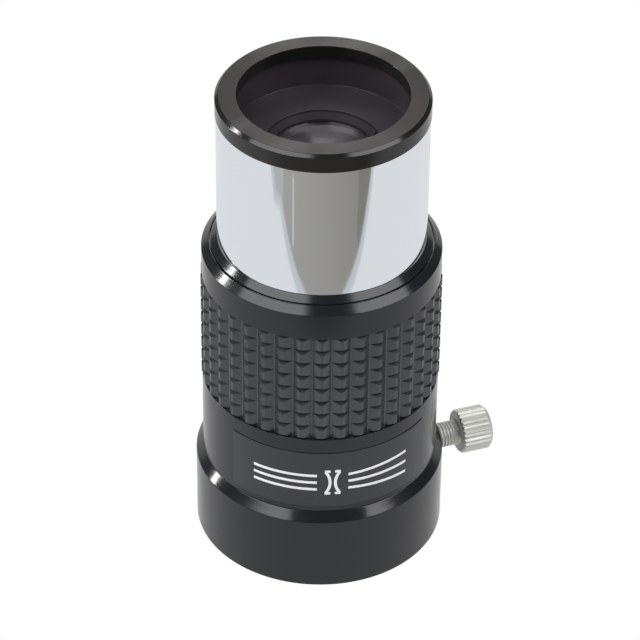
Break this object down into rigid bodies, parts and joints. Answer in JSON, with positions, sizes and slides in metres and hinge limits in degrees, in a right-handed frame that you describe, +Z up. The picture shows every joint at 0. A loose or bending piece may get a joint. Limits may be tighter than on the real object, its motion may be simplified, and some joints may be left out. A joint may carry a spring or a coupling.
{
  "type": "barlow lens",
  "caption": "Round telescope barlow lens: plated nosepiece, black body with a ribbed rubber grip, eyepiece socket and side thumbscrew.",
  "frame": {"origin": "centre of the eyepiece socket's mouth, on the flat end the part stands on", "axes": "+Z up the optical axis from the socket to the nose, +X out along the thumbscrew"},
  "size_m": [0.0471, 0.0382, 0.078],
  "materials": {
    "black_anodised": "satin black anodised",
    "matt_black": "matt black anodised",
    "chrome_plate": "bright plated",
    "grip_rubber": "moulded matt",
    "plate_film": "satin film",
    "coated_glass": "coated",
    "brass_shim": "rolled",
    "bare_aluminium": "turned and serrated",
    "screw_steel": "threaded",
    "nylon": "moulded"
  },
  "bodies": {
    "tube": {"eyepiece_holder": "black_anodised", "body_tube": "black_anodised", "front_adapter": "black_anodised", "nosepiece_barrel": "chrome_plate", "grip_sleeve": "grip_rubber", "name_plate": "plate_film"},
    "doublet": {"front_lens_element": "coated_glass", "rear_lens_element": "coated_glass", "lens_shim": "brass_shim"},
    "cell": {"nose_ring": "black_anodised", "lens_cell": "matt_black", "lens_retaining_ring": "matt_black"},
    "screw_tip": {"screw_tip_pad": "nylon"},
    "thumbscrew": {"thumbscrew_head": "bare_aluminium", "thumbscrew_stud": "screw_steel"}
  },
  "joints": [
    {"name": "cell_rise", "type": "slide", "parent": "tube", "child": "doublet", "axis": [0, 0, 1], "range_m": [0, 0.003]},
    {"name": "cell_turn", "type": "hinge", "parent": "doublet", "child": "cell", "pos_m": [0, 0, 0.065], "axis": [0, 0, 1], "range_deg": [0, 1800]},
    {"name": "screw_travel", "type": "slide", "parent": "tube", "child": "screw_tip", "axis": [1, 0, 0], "range_m": [-0.0035, 0.0021]},
    {"name": "screw_turn", "type": "hinge", "parent": "screw_tip", "child": "thumbscrew", "pos_m": [0.023, 0, 0.0091], "axis": [1, 0, 0], "range_deg": [-2520, 1512]}
  ],
  "couplings": [
    {"joint": "cell_rise", "follows": "cell_turn", "m_per_rad": 0.000095493},
    {"joint": "screw_turn", "follows": "screw_travel", "rad_per_m": 12566}
  ]
}
